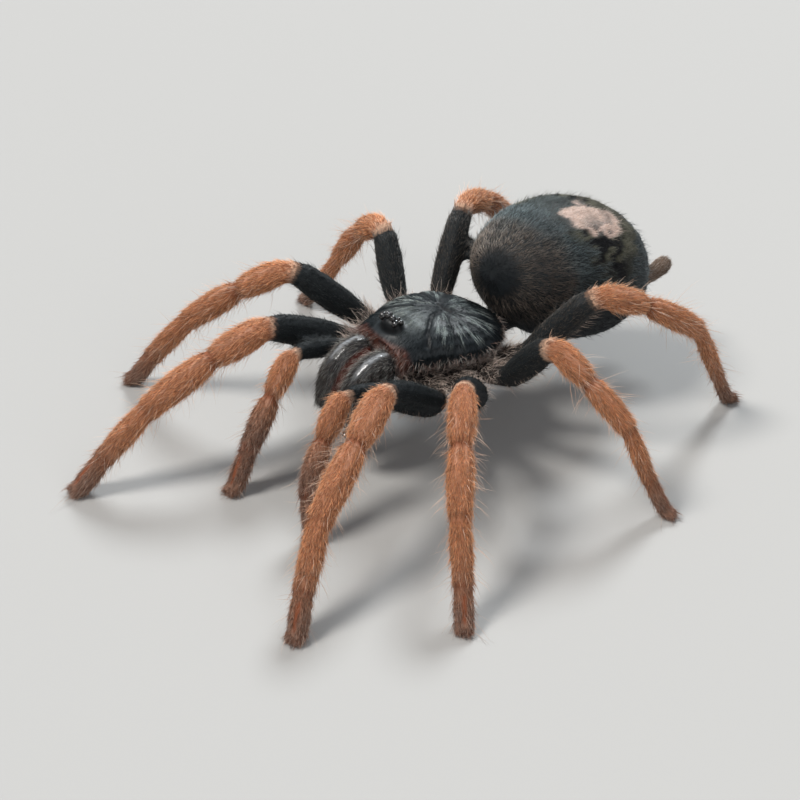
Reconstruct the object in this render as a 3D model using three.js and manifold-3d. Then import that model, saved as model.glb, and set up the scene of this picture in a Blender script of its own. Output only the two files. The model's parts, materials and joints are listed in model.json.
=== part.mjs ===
// A dwarf tarantula standing on ten feet, life size, in millimetres, +Z up.
// The head faces -Y and the animal's left side is +X.
import * as THREE from 'three';
import { mergeVertices } from 'three/addons/utils/BufferGeometryUtils.js';
import Module from 'manifold-3d';

const wasm = await Module();
wasm.setup();

// ---- driving dimensions ----
const jointGap = 0.3; // air between neighbouring pieces
const pocketGap = 0.15; // air round the eye mound in its pocket
const bodyHeight = 8.7; // floor to the plane through the leg roots
const bodyPitch = 2; // degrees, head up
const limbSides = 10; // facets round a limb
const limbStations = [0, 0.12, 0.32, 0.6, 0.85, 1]; // rings along each limb segment
const footStations = [0, 0.2, 0.5, 0.74, 0.88, 1]; // the same, closer together at the toe
const cornerReach = 1.6; // length of the rounding on each side of a joint
const footSink = 0.25; // height of the toe's centre as a share of the last segment's thickness
const toeShare = 0.22; // share of the last segment that lies along the floor

const carapaceSize = { length: 12, width: 10.4, underside: 0.3, rim: 0.75 };
const abdomenSize = { width: 14.3, length: 17.8, height: 12.6, droop: 15.5, behind: 14.1, above: 11.15 };
const cheliceraSize = { width: 2.6, height: 3.6, spread: 1.5 };
const fangSize = { root: 0.9, tip: 0.5, spread: 1.4 };
const eyeMound = { width: 2.3, length: 1.5, height: 1.5, behind: -4.7, above: 2.95 };
const spinneretSize = { thickness: 2.0, spread: 1.4 };
const sternumSize = { width: 7.2, length: 9.8, height: 3.0, above: -1.5 };

// Segment lengths and mid-segment thicknesses, from the hip outward.
const legNames = ['femur', 'patella', 'tibia', 'metatarsus', 'tarsus'];
const palpNames = ['femur', 'patella', 'tibia', 'tarsus'];
const limbs = {
  palp: {
    names: palpNames, root: [1.3, -3.6, -1.5], hip: [4.2, -6.1, -0.7],
    lengths: [6.7, 3.9, 4.6, 4.5], thickness: [1.9, 2.25, 2.15, 1.85],
  },
  leg_1: {
    names: legNames, root: [2.0, -2.6, -1.6], hip: [6.3, -4.5, -1.5],
    lengths: [8.9, 5.2, 6.6, 5.4, 4.1], thickness: [2.9, 2.75, 2.6, 2.15, 1.95],
  },
  leg_2: {
    names: legNames, root: [2.4, -0.9, -1.6], hip: [7.6, -1.5, -1.1],
    lengths: [8.1, 4.9, 5.5, 5.3, 3.9], thickness: [2.8, 2.55, 2.45, 2.05, 1.85],
  },
  leg_3: {
    names: legNames, root: [2.4, 1.0, -1.6], hip: [7.2, 2.1, -0.8],
    lengths: [7.2, 4.1, 4.9, 5.3, 4.2], thickness: [2.7, 2.4, 2.2, 1.65, 1.5],
  },
  leg_4: {
    names: legNames, root: [1.9, 2.6, -1.6], hip: [5.6, 5.4, -0.7],
    lengths: [8.8, 4.8, 6.6, 7.4, 4.6], thickness: [2.7, 2.4, 2.3, 1.65, 1.5],
  },
};

// Start and end thickness of a segment, as shares of its middle.
const taper = {
  femur: [0.8, 0.8], patella: [0.82, 0.78], tibia: [0.8, 0.8],
  metatarsus: [0.84, 0.82], tarsus: [0.86, 0.8],
};

// Stance, in degrees: heading turns a limb outward from straight ahead, lean tips its plane,
// turn swings everything past the knee, and rise lifts each segment above the level.
// The last segment's rise follows from the floor.
const stance = {
  left: {
    palp: { heading: 2, lean: -13, turn: 13, rise: [18, -50, -50] },
    leg_1: { heading: 23, lean: -15, turn: -7, rise: [35, -20, -31, -52] },
    leg_2: { heading: 44, lean: -10, turn: 0, rise: [38, -27, -34, -60] },
    leg_3: { heading: 105, lean: -9, turn: 4, rise: [53, -35, -42, -66] },
    leg_4: { heading: 151, lean: -14, turn: 6, rise: [55, -19, -33, -62] },
  },
  right: {
    palp: { heading: -11, lean: 1, turn: 1, rise: [19, -52, -55] },
    leg_1: { heading: 3, lean: -6, turn: 2, rise: [26, -16, -29, -44] },
    leg_2: { heading: 35, lean: -6, turn: 3, rise: [40, -28, -38, -52] },
    leg_3: { heading: 97, lean: 7, turn: 4, rise: [56, -34, -57, -57] },
    leg_4: { heading: 157, lean: -5, turn: 0, rise: [54, -17, -40, -57] },
  },
};

const finishes = {
  darkLimb: { color: 0x26272a, roughness: 0.6 },
  salmonLimb: { color: 0xb8683f, roughness: 0.75 },
  shell: { color: 0x20262a, roughness: 0.4 },
  belly: { color: 0x2b2320, roughness: 0.8 },
  abdomen: { color: 0x262a30, roughness: 0.8 },
  claw: { color: 0x140b09, roughness: 0.25 },
  spinneret: { color: 0x7d6552, roughness: 0.8 },
};

const radians = THREE.MathUtils.degToRad;
const lerp = THREE.MathUtils.lerp;
const vector = (x, y, z) => new THREE.Vector3(x, y, z);

// ---- making solids ----

// A closed solid through rings of points, with a flat fan on each end.
function solidFromRings(rings) {
  const sides = rings[0].length;
  const faces = [];
  for (let r = 0; r < rings.length - 1; r++) {
    for (let s = 0; s < sides; s++) {
      const near = r * sides + s;
      const next = r * sides + (s + 1) % sides;
      faces.push(near, next, next + sides, near, next + sides, near + sides);
    }
  }
  const last = (rings.length - 1) * sides;
  for (let s = 1; s < sides - 1; s++) {
    faces.push(0, s + 1, s);
    faces.push(last, last + s, last + s + 1);
  }
  const geometry = new THREE.BufferGeometry();
  geometry.setFromPoints(rings.flat());
  geometry.setIndex(volumeOf(rings.flat(), faces) < 0 ? faces.reverse() : faces);
  geometry.computeVertexNormals();
  return geometry;
}

function volumeOf(points, faces) {
  let volume = 0;
  for (let i = 0; i < faces.length; i += 3) {
    const [a, b, c] = [points[faces[i]], points[faces[i + 1]], points[faces[i + 2]]];
    volume += a.dot(b.clone().cross(c)) / 6;
  }
  return volume;
}

// An oval ring of points round a centre, with one flat side down.
function ovalRing(centre, side, up, width, height, sides) {
  const ring = [];
  for (let s = 0; s < sides; s++) {
    const angle = (s + 0.5) / sides * 2 * Math.PI - Math.PI / 2;
    ring.push(centre.clone()
      .addScaledVector(side, Math.cos(angle) * width / 2)
      .addScaledVector(up, Math.sin(angle) * height / 2));
  }
  return ring;
}

// The directions across and above a path at one place.
function frameAt(path, place) {
  const along = path.getTangent(THREE.MathUtils.clamp(place, 0.0005, 0.9995));
  const side = along.clone().cross(vector(0, 0, 1)).normalize();
  return { side, up: side.clone().cross(along).normalize() };
}

// A solid swept between two places on a path; size(t) gives its width and height.
function sweptSolid(path, from, to, stations, sides, size, floor = -Infinity) {
  const rings = stations.map((t) => {
    const place = lerp(from, to, t);
    const { side, up } = frameAt(path, place);
    const { width, height } = size(t);
    const ring = ovalRing(path.getPoint(place), side, up, width, height, sides);
    ring.forEach((point) => { point.z = Math.max(point.z, floor); });
    return ring;
  });
  return solidFromRings(rings);
}

function toManifold(geometry) {
  const bare = geometry.clone();
  bare.deleteAttribute('normal');
  bare.deleteAttribute('uv');
  const merged = mergeVertices(bare);
  return new wasm.Manifold(new wasm.Mesh({
    numProp: 3,
    vertProperties: new Float32Array(merged.attributes.position.array),
    triVerts: new Uint32Array(merged.index.array),
  }));
}

function fromManifold(solid) {
  const mesh = solid.getMesh();
  const geometry = new THREE.BufferGeometry();
  geometry.setAttribute('position', new THREE.BufferAttribute(new Float32Array(mesh.vertProperties), 3));
  geometry.setIndex(new THREE.BufferAttribute(new Uint32Array(mesh.triVerts), 1));
  geometry.computeVertexNormals();
  return geometry;
}

function makeMesh(name, geometry, finish) {
  const material = new THREE.MeshStandardMaterial({ ...finishes[finish], metalness: 0 });
  const mesh = new THREE.Mesh(geometry, material);
  mesh.name = name;
  return mesh;
}

// An ellipsoid from the sphere class, centred where it is asked for.
function ellipsoid(width, length, height, columns, rows, centre) {
  const geometry = new THREE.SphereGeometry(0.5, columns, rows);
  geometry.rotateX(Math.PI / 2);
  geometry.scale(width, length, height);
  geometry.translate(centre.x, centre.y, centre.z);
  return geometry;
}

// A value read between the points of a short list of [place, value] pairs.
function profile(pairs, place) {
  const upper = Math.max(1, pairs.findIndex(([at]) => at >= place));
  const [[t0, v0], [t1, v1]] = [pairs[upper - 1], pairs[upper]];
  return lerp(v0, v1, (place - t0) / (t1 - t0));
}

// ---- limbs ----

// Joint places of one limb, from its root under the shell to the toe.
function limbJoints(limb, pose, sign, toFloorFrame) {
  const joints = [limb.root, limb.hip].map(([x, y, z]) => toFloorFrame(vector(sign * x, y, z)));
  const tilt = radians(pose.lean);
  limb.lengths.forEach((length, index) => {
    const last = index === limb.lengths.length - 1;
    const heading = radians(pose.heading + (index >= 2 ? pose.turn : 0));
    const ahead = vector(sign * Math.sin(heading), -Math.cos(heading), 0);
    const outward = vector(sign * Math.cos(heading), Math.sin(heading), 0);
    const up = vector(0, 0, Math.cos(tilt)).addScaledVector(outward, Math.sin(tilt));
    const start = joints.at(-1);
    const footHeight = footSink * limb.thickness.at(-1);
    const reach = last ? length * (1 - toeShare) : length;
    const drop = (start.z - footHeight) / reach / Math.cos(tilt);
    const rise = last ? -Math.asin(Math.min(drop, 1)) : radians(pose.rise[index]);
    joints.push(start.clone()
      .addScaledVector(ahead, reach * Math.cos(rise))
      .addScaledVector(up, reach * Math.sin(rise)));
    if (last) joints.push(joints.at(-1).clone().addScaledVector(ahead, length * toeShare));
  });
  return joints;
}

// Straight runs with rounded corners, and the place of each corner's middle on the whole path.
function limbPath(joints) {
  const path = new THREE.CurvePath();
  const cuts = [];
  let travelled = 0;
  let from = joints[0];
  const add = (curve) => {
    path.add(curve);
    travelled += curve.getLength();
  };
  for (let i = 1; i < joints.length - 1; i++) {
    const [before, corner, after] = [joints[i - 1], joints[i], joints[i + 1]];
    const reach = Math.min(cornerReach, corner.distanceTo(before) * 0.4, corner.distanceTo(after) * 0.4);
    const enter = corner.clone().lerp(before, reach / corner.distanceTo(before));
    const leave = corner.clone().lerp(after, reach / corner.distanceTo(after));
    add(new THREE.LineCurve3(from, enter));
    const bend = new THREE.QuadraticBezierCurve3(enter, corner, leave);
    cuts.push(travelled + bend.getLength() / 2);
    add(bend);
    from = leave;
  }
  add(new THREE.LineCurve3(from, joints.at(-1)));
  return { path, cuts: cuts.map((cut) => cut / travelled), total: travelled };
}

// Thickness along a segment: a parabola through its start, middle and end.
function segmentSize(name, thickness) {
  const [start, end] = taper[name];
  return (t) => {
    const ends = lerp(start, end, t);
    const middle = (start + end) / 2;
    let share = ends + (1 - middle) * 4 * t * (1 - t);
    if (name === 'tarsus' && t === 1) share *= 0.72; // the toe rounds off
    return { width: thickness * share, height: thickness * share * 1.04 };
  };
}

function makeLimb(limbName, sideName, toFloorFrame) {
  const limb = limbs[limbName];
  const sign = sideName === 'left' ? 1 : -1;
  const joints = limbJoints(limb, stance[sideName][limbName], sign, toFloorFrame);
  const { path, cuts, total } = limbPath(joints);
  const halfGap = jointGap / 2 / total;
  const segments = limb.names.map((name, index) => {
    const last = index === limb.names.length - 1;
    const from = cuts[index] + halfGap;
    const to = last ? 1 : cuts[index + 1] - halfGap;
    const size = segmentSize(name, limb.thickness[index]);
    const stations = last ? footStations : limbStations;
    const geometry = sweptSolid(path, from, to, stations, limbSides, size, last ? 0 : -Infinity);
    return makeMesh(`${limbName}_${sideName}_${name}`, geometry, index === 0 ? 'darkLimb' : 'salmonLimb');
  });
  return { segments, coxa: coxaSolid(limb, path, cuts[0] - halfGap) };
}

// The short leg root that grows out of the body's underside.
function coxaSolid(limb, path, to) {
  const thickness = limb.thickness[0];
  const size = (t) => ({ width: thickness * lerp(0.7, 0.86, t), height: thickness * 0.8 });
  return sweptSolid(path, 0.002, to, [0, 0.5, 1], limbSides, size);
}

// ---- body ----

// Half width, crown height and rim height of the shell along its length, front to back.
const shellWidth = [
  [0, 0.64], [0.1, 0.7], [0.2, 0.77], [0.3, 0.86], [0.4, 0.94], [0.5, 0.99], [0.6, 1],
  [0.7, 0.97], [0.8, 0.87], [0.88, 0.73], [0.95, 0.52], [1, 0.3],
];
const shellCrown = [
  [0, 2.0], [0.06, 2.6], [0.14, 3.05], [0.28, 3.4], [0.42, 3.35], [0.56, 2.95], [0.64, 2.95],
  [0.76, 2.7], [0.88, 2.0], [1, 1.2],
];
const shellStations = [0, 0.03, 0.08, 0.15, 0.24, 0.34, 0.44, 0.54, 0.62, 0.7, 0.8, 0.88, 0.94, 1];

function makeCarapace() {
  const archPoints = 13;
  const rings = shellStations.map((t) => {
    const y = lerp(-0.5, 0.5, t) * carapaceSize.length;
    const half = profile(shellWidth, t) * carapaceSize.width / 2;
    const crown = profile(shellCrown, t);
    const ring = [vector(half * 0.94, y, carapaceSize.underside)];
    for (let s = 0; s < archPoints; s++) {
      const angle = s / (archPoints - 1) * Math.PI;
      const rise = Math.sin(angle) ** 0.9;
      ring.push(vector(half * Math.cos(angle), y, lerp(carapaceSize.rim, crown, rise)));
    }
    ring.push(vector(-half * 0.94, y, carapaceSize.underside));
    return ring;
  });
  const pocket = moundSolid(2 * pocketGap);
  return fromManifold(toManifold(solidFromRings(rings)).subtract(toManifold(pocket)));
}

function moundSolid(extra) {
  const { width, length, height, behind, above } = eyeMound;
  const centre = vector(0, behind, above);
  return ellipsoid(width + extra, length + extra, height + extra, 14, 9, centre);
}

// Chelicera: a stout bulging block that hangs forward and down from the front of the shell.
function makeChelicera(sign) {
  const { width, height, spread } = cheliceraSize;
  const path = new THREE.QuadraticBezierCurve3(
    vector(sign * spread, -6.3, 0),
    vector(sign * spread, -8.8, 0.2),
    vector(sign * (spread - 0.1), -9.6, -3.8),
  );
  const size = (t) => {
    const swell = profile([[0, 0.88], [0.25, 1], [0.55, 0.97], [0.85, 0.78], [1, 0.6]], t);
    return { width: width * Math.min(1, swell + 0.08), height: height * swell };
  };
  return sweptSolid(path, 0, 1, [0, 0.12, 0.28, 0.45, 0.62, 0.8, 0.92, 1], 12, size);
}

// Fang: a hooked claw folded back under its chelicera.
function makeFang(sign) {
  const { root, tip, spread } = fangSize;
  const path = new THREE.CubicBezierCurve3(
    vector(sign * spread, -9.85, -4.4),
    vector(sign * spread, -10.3, -5.6),
    vector(sign * spread, -8.9, -5.9),
    vector(sign * (spread - 0.2), -7.1, -4.9),
  );
  const size = (t) => ({ width: lerp(root, tip, t), height: lerp(root, tip, t) });
  return sweptSolid(path, 0, 1, [0, 0.2, 0.4, 0.6, 0.8, 1], 8, size);
}

// Underside: the sternum plate's block with the ten leg roots grown out of it.
function makeUnderside(coxae, fromFloorFrame) {
  const { width, length, height, above } = sternumSize;
  let solid = toManifold(ellipsoid(width, length, height, 16, 8, vector(0, 0, above)));
  coxae.forEach((coxa) => {
    solid = solid.add(toManifold(coxa.applyMatrix4(fromFloorFrame)));
  });
  return fromManifold(solid);
}

// Abdomen: an egg that droops to the rear, with the narrow waist joined to its lower front.
function eggSolid(extra) {
  const { width, length, height, droop, behind, above } = abdomenSize;
  const rows = 13;
  const columns = 18;
  const rings = [];
  for (let r = 0; r <= rows; r++) {
    const along = -Math.cos(lerp(0.16, Math.PI - 0.16, r / rows));
    const girth = Math.sqrt(1 - along * along) * (1 + 0.07 * along);
    const centre = vector(0, along * (length + extra) / 2, 0);
    const [wide, high] = [(width + extra) * girth, (height + extra) * girth];
    rings.push(ovalRing(centre, vector(1, 0, 0), vector(0, 0, 1), wide, high, columns));
  }
  const egg = solidFromRings(rings);
  egg.rotateX(-radians(droop));
  egg.translate(0, behind, above);
  return toManifold(egg);
}

function makeAbdomen() {
  const waist = new THREE.LineCurve3(vector(0, 6.4, 7.5), vector(0, 10.4, 9.4));
  const size = (t) => ({ width: lerp(2.8, 4.6, t), height: lerp(1.7, 3.4, t) });
  const waistSolid = sweptSolid(waist, 0, 1, [0, 0.5, 1], 10, size);
  return fromManifold(eggSolid(0).add(toManifold(waistSolid)));
}

// Spinneret: a short blunt finger that starts against the abdomen's rear and swells to a round tip.
function makeSpinneret(sign) {
  const { thickness, spread } = spinneretSize;
  const path = new THREE.QuadraticBezierCurve3(
    vector(sign * spread, 21.2, 7.4),
    vector(sign * (spread + 0.1), 24.4, 7.0),
    vector(sign * (spread + 0.4), 26.6, 8.9),
  );
  const size = (t) => {
    const swell = profile([[0, 0.85], [0.5, 0.85], [0.8, 1], [0.93, 0.84], [1, 0.45]], t);
    return { width: thickness * swell, height: thickness * swell };
  };
  const finger = sweptSolid(path, 0, 1, [0, 0.3, 0.5, 0.66, 0.8, 0.93, 1], 10, size);
  return fromManifold(toManifold(finger).subtract(eggSolid(2 * jointGap)));
}

// ---- assembly ----

const spider = new THREE.Group();
const prosoma = new THREE.Group(); // head and thorax share one tilt and height
prosoma.position.z = bodyHeight;
prosoma.rotation.x = -radians(bodyPitch);
spider.add(prosoma);
prosoma.updateMatrixWorld(true);
const toFloorFrame = (point) => point.applyMatrix4(prosoma.matrixWorld);
const fromFloorFrame = prosoma.matrixWorld.clone().invert();

const coxae = [];
for (const sideName of ['left', 'right']) {
  const sign = sideName === 'left' ? 1 : -1;
  for (const limbName of Object.keys(limbs)) {
    const { segments, coxa } = makeLimb(limbName, sideName, toFloorFrame);
    spider.add(...segments);
    coxae.push(coxa);
  }
  prosoma.add(makeMesh(`chelicera_${sideName}`, makeChelicera(sign), 'shell'));
  prosoma.add(makeMesh(`fang_${sideName}`, makeFang(sign), 'claw'));
  spider.add(makeMesh(`spinneret_${sideName}`, makeSpinneret(sign), 'spinneret'));
}
prosoma.add(makeMesh('carapace', makeCarapace(), 'shell'));
prosoma.add(makeMesh('eye_mound', moundSolid(0), 'claw'));
prosoma.add(makeMesh('underside', makeUnderside(coxae, fromFloorFrame), 'belly'));
spider.add(makeMesh('abdomen', makeAbdomen(), 'abdomen'));

// Stand the model on the floor with the middle of its box over the origin.
spider.updateMatrixWorld(true);
const bounds = new THREE.Box3().setFromObject(spider);
const middle = bounds.getCenter(vector(0, 0, 0));
spider.position.set(-middle.x, -middle.y, -bounds.min.z);

export default spider;
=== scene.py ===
import json
import math

import bmesh
import bpy
import numpy as np
from mathutils import Matrix, Vector
from mathutils.kdtree import KDTree

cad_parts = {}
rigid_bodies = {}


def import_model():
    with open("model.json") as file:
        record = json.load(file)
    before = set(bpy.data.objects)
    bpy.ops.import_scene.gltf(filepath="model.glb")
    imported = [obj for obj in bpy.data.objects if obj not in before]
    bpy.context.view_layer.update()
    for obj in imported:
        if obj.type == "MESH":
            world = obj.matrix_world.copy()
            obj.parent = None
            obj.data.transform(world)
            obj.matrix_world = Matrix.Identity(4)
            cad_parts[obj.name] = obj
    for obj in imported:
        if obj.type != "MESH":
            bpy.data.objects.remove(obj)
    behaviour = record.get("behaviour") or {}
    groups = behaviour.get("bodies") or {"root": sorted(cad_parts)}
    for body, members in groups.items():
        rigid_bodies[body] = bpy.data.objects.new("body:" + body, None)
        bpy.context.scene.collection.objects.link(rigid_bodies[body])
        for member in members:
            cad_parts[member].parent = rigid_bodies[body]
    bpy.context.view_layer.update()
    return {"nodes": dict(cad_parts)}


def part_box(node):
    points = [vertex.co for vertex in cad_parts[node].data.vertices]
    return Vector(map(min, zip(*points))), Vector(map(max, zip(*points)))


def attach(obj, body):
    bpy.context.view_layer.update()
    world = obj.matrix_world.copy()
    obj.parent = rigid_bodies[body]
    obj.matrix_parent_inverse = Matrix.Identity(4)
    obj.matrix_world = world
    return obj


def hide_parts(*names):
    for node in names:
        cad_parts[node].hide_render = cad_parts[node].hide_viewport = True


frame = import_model()

mm = 0.001
scene = bpy.context.scene
limbNames = ["palp", "leg_1", "leg_2", "leg_3", "leg_4"]
sides = {"left": 1, "right": -1}  # and the sign of x there
body = {"height": 8.7, "pitch": 2.0}  # mm above the floor and degrees, as the solids stand

shellLow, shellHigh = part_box("carapace")
origin = Vector(((shellLow.x + shellHigh.x) / 2, (shellLow.y + shellHigh.y) / 2, 0))


def place(x, y, z):
    # millimetres from the floor point under the middle of the shell
    return origin + Vector((x, y, z)) * mm


def pitched(points, degrees):
    # turned about the x axis
    c, s = math.cos(math.radians(degrees)), math.sin(math.radians(degrees))
    x, y, z = points.T
    return np.stack([x, y * c - z * s, y * s + z * c], 1)


def fromBody(points):
    # millimetres in the tilted body's own axes, to metres in the frame
    points = np.atleast_2d(np.asarray(points, float))
    return (pitched(points, -body["pitch"]) + (0, 0, body["height"])) * mm + np.array(origin)


def toBody(points):
    points = (np.atleast_2d(points) - np.array(origin)) / mm - (0, 0, body["height"])
    return pitched(points, body["pitch"])


def bodyWays(ways):
    # directions in the body's own axes, to directions in the frame
    return fromBody(ways) - fromBody(np.zeros((1, 3)))


# small tools

def unit(vectors):
    return vectors / np.maximum(np.linalg.norm(vectors, axis=-1, keepdims=True), 1e-12)


def laidOn(ways, normals):
    # what is left of each direction along the surface
    return unit(ways - normals * (ways * normals).sum(1, keepdims=True))


def smoothStep(low, high, value):
    t = np.clip((value - low) / (high - low), 0, 1)
    return t * t * (3 - 2 * t)


def bell(value, width):
    return np.exp(-(value / width) ** 2)


def ripple(points, size, seed):
    # smooth wandering values between about -1 and 1 that change over the given size
    random = np.random.default_rng(seed)
    waves = random.normal(size=(9, 3)) / size * 1.7
    phase = random.uniform(0, 2 * math.pi, 9)
    return np.sin(points @ waves.T + phase).sum(1) / 4.2


def link(name, data):
    piece = bpy.data.objects.new(name, data)
    scene.collection.objects.link(piece)
    return piece


def addObject(name, mesh, material, replaced=()):
    piece = link(name, mesh)
    mesh.materials.clear()
    mesh.materials.append(material)
    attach(piece, "root")
    if replaced:
        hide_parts(*replaced)
    return piece


def setPoints(mesh, points):
    mesh.vertices.foreach_set("co", points.astype(np.float32).ravel())
    mesh.update()


def setValues(mesh, **values):
    # one attribute on the vertices for each named array
    for name, array in values.items():
        kind, key = ("FLOAT", "value") if array.ndim == 1 else ("FLOAT_VECTOR", "vector")
        layer = mesh.attributes.new(name, kind, "POINT")
        layer.data.foreach_set(key, array.astype(np.float32).ravel())


def readVectors(items, key):
    values = np.empty(len(items) * 3, np.float32)
    items.foreach_get(key, values)
    return values.reshape(-1, 3).astype(float)


def vertexArray(mesh):
    return readVectors(mesh.vertices, "co")


def normalArray(mesh):
    return readVectors(mesh.vertex_normals, "vector")


def triangleArray(mesh):
    mesh.calc_loop_triangles()
    corners = np.empty(len(mesh.loop_triangles) * 3, np.int32)
    mesh.loop_triangles.foreach_get("vertices", corners)
    return corners.reshape(-1, 3)


def nodePoints(name):
    return vertexArray(frame["nodes"][name].data)


def remeshedNodes(name, nodes, swell, voxel, smoothing, sink):
    # one closed surface over several solids: swollen until they touch, then drawn back in
    joined = bmesh.new()
    for node in nodes:
        joined.from_mesh(frame["nodes"][node].data)
    bmesh.ops.remove_doubles(joined, verts=joined.verts, dist=0.002 * mm)
    joined.normal_update()
    for vert in joined.verts:
        vert.co += vert.normal * swell * mm
    rough = bpy.data.meshes.new(name)
    joined.to_mesh(rough)
    joined.free()
    piece = link(name, rough)
    remesh = piece.modifiers.new("remesh", "REMESH")
    remesh.mode = "VOXEL"
    remesh.voxel_size = voxel * mm
    smooth = piece.modifiers.new("smooth", "SMOOTH")
    smooth.factor = 0.5
    smooth.iterations = smoothing
    graph = bpy.context.evaluated_depsgraph_get()
    mesh = bpy.data.meshes.new_from_object(piece.evaluated_get(graph))
    bpy.data.objects.remove(piece)
    bpy.data.meshes.remove(rough)
    setPoints(mesh, vertexArray(mesh) - normalArray(mesh) * (swell + sink) * mm)
    mesh.shade_smooth()
    return mesh


# camera, light and floor

cameraSetup = {"at": (97.5, -87.4, 90.4), "azimuth": 49.2, "elevation": 33.9, "roll": 3.2, "lens": 82.9}


def makeCamera():
    a, e, r = (math.radians(cameraSetup[key]) for key in ("azimuth", "elevation", "roll"))
    back = Vector((math.sin(a) * math.cos(e), -math.cos(a) * math.cos(e), math.sin(e)))
    level = Vector((math.cos(a), math.sin(a), 0))
    above = back.cross(level)
    right = level * math.cos(r) + above * math.sin(r)
    up = above * math.cos(r) - level * math.sin(r)
    data = bpy.data.cameras.new("camera")
    data.lens = cameraSetup["lens"]
    data.sensor_width = 36
    data.clip_start = 0.005
    data.clip_end = 5
    camera = link("camera", data)
    turn = Matrix((right, up, back)).transposed()
    camera.matrix_world = Matrix.Translation(place(*cameraSetup["at"])) @ turn.to_4x4()
    scene.camera = camera


# direction each light comes from, how wide it looks in degrees, and its strength
lamps = {
    "keyLamp": {"from": (-60, -120, 190), "width": 18, "strength": 3.1, "colour": (1.0, 0.97, 0.93)},
    "rimLamp": {"from": (-90, 130, 150), "width": 16, "strength": 2.9, "colour": (0.92, 0.97, 1.0)},
    "fillLamp": {"from": (170, -40, 90), "width": 60, "strength": 0.9, "colour": (1.0, 1.0, 1.0)},
}
skySetup = {"colour": (0.9, 0.93, 1.0, 1), "strength": 0.3}


def makeLamps():
    for name, lamp in lamps.items():
        data = bpy.data.lights.new(name, "SUN")
        data.angle = math.radians(lamp["width"])
        data.energy = lamp["strength"]
        data.color = lamp["colour"]
        light = link(name, data)
        light.location = place(*lamp["from"])
        light.rotation_mode = "QUATERNION"
        light.rotation_quaternion = Vector(lamp["from"]).to_track_quat("Z", "Y")
    world = bpy.data.worlds.new("studio")
    scene.world = world
    world.use_nodes = True
    sky = world.node_tree.nodes["Background"]
    sky.inputs["Color"].default_value = skySetup["colour"]
    sky.inputs["Strength"].default_value = skySetup["strength"]


floorSetup = {"width": 6.0, "colour": (0.37, 0.365, 0.355, 1), "roughness": 0.85, "below": 0.02}


def makeFloor():
    mesh = bpy.data.meshes.new("floor")
    half = floorSetup["width"] / 2
    corners = [(-half, -half, 0), (half, -half, 0), (half, half, 0), (-half, half, 0)]
    mesh.from_pydata(corners, [], [(0, 1, 2, 3)])
    material = bpy.data.materials.new("floor")
    material.use_nodes = True
    shader = material.node_tree.nodes["Principled BSDF"]
    shader.inputs["Base Color"].default_value = floorSetup["colour"]
    shader.inputs["Roughness"].default_value = floorSetup["roughness"]
    mesh.materials.append(material)
    floor = link("floor", mesh)
    floor.location.z = -floorSetup["below"] * mm


makeCamera()
makeLamps()
makeFloor()
print("camera, lamps and floor made")


# shader node groups and materials

def plug(tree, socket, value):
    # link another node's output, or set a plain value
    if isinstance(value, bpy.types.NodeSocket):
        tree.links.new(value, socket)
    else:
        socket.default_value = value


def addNode(tree, kind, inputs, **settings):
    node = tree.nodes.new(kind)
    for key, value in settings.items():
        setattr(node, key, value)
    for key, value in inputs.items():
        plug(tree, node.inputs[key], value)
    return node


def addGroup(tree, group, **inputs):
    return addNode(tree, "ShaderNodeGroup", inputs, node_tree=group)


def mixColour(tree, factor, first, second):
    # sockets 6 and 7 are the mix node's colours
    mix = addNode(tree, "ShaderNodeMix", {}, data_type="RGBA")
    for index, value in ((0, factor), (6, first), (7, second)):
        plug(tree, mix.inputs[index], value)
    return mix.outputs[2]


def maths(tree, operation, first, second, clamp=False):
    node = addNode(tree, "ShaderNodeMath", {0: first, 1: second}, operation=operation, use_clamp=clamp)
    return node.outputs[0]


def attribute(tree, name, output="Fac"):
    return addNode(tree, "ShaderNodeAttribute", {}, attribute_name=name).outputs[output]


def newGroup(name, inputs, outputs):
    group = bpy.data.node_groups.new(name, "ShaderNodeTree")
    for label, kind, value in inputs:
        socket = group.interface.new_socket(label, in_out="INPUT", socket_type=kind)
        socket.default_value = value
    for label, kind in outputs:
        group.interface.new_socket(label, in_out="OUTPUT", socket_type=kind)
    return group, group.nodes.new("NodeGroupInput"), group.nodes.new("NodeGroupOutput")


def makeHairToneGroup():
    # colour along one hair, with a different shade on every hair
    colours = [(label, "NodeSocketColor", (0, 0, 0, 1)) for label in ("Root", "Middle", "Tip")]
    group, given, result = newGroup("hairTone", colours + [("Spread", "NodeSocketFloat", 0.5)],
                                    [("Colour", "NodeSocketColor")])
    along = attribute(group, "along")
    lower = maths(group, "MULTIPLY", along, 2.0, clamp=True)
    upper = maths(group, "SUBTRACT", maths(group, "MULTIPLY", along, 2.0), 1.0, clamp=True)
    colour = mixColour(group, lower, given.outputs["Root"], given.outputs["Middle"])
    colour = mixColour(group, upper, colour, given.outputs["Tip"])
    shade = maths(group, "SUBTRACT", attribute(group, "tone"), 0.5)
    shade = maths(group, "ADD", maths(group, "MULTIPLY", shade, given.outputs["Spread"]), 1.0)
    bright = addNode(group, "ShaderNodeVectorMath", {0: colour, "Scale": shade}, operation="SCALE")
    group.links.new(bright.outputs[0], result.inputs["Colour"])
    return group


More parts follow.
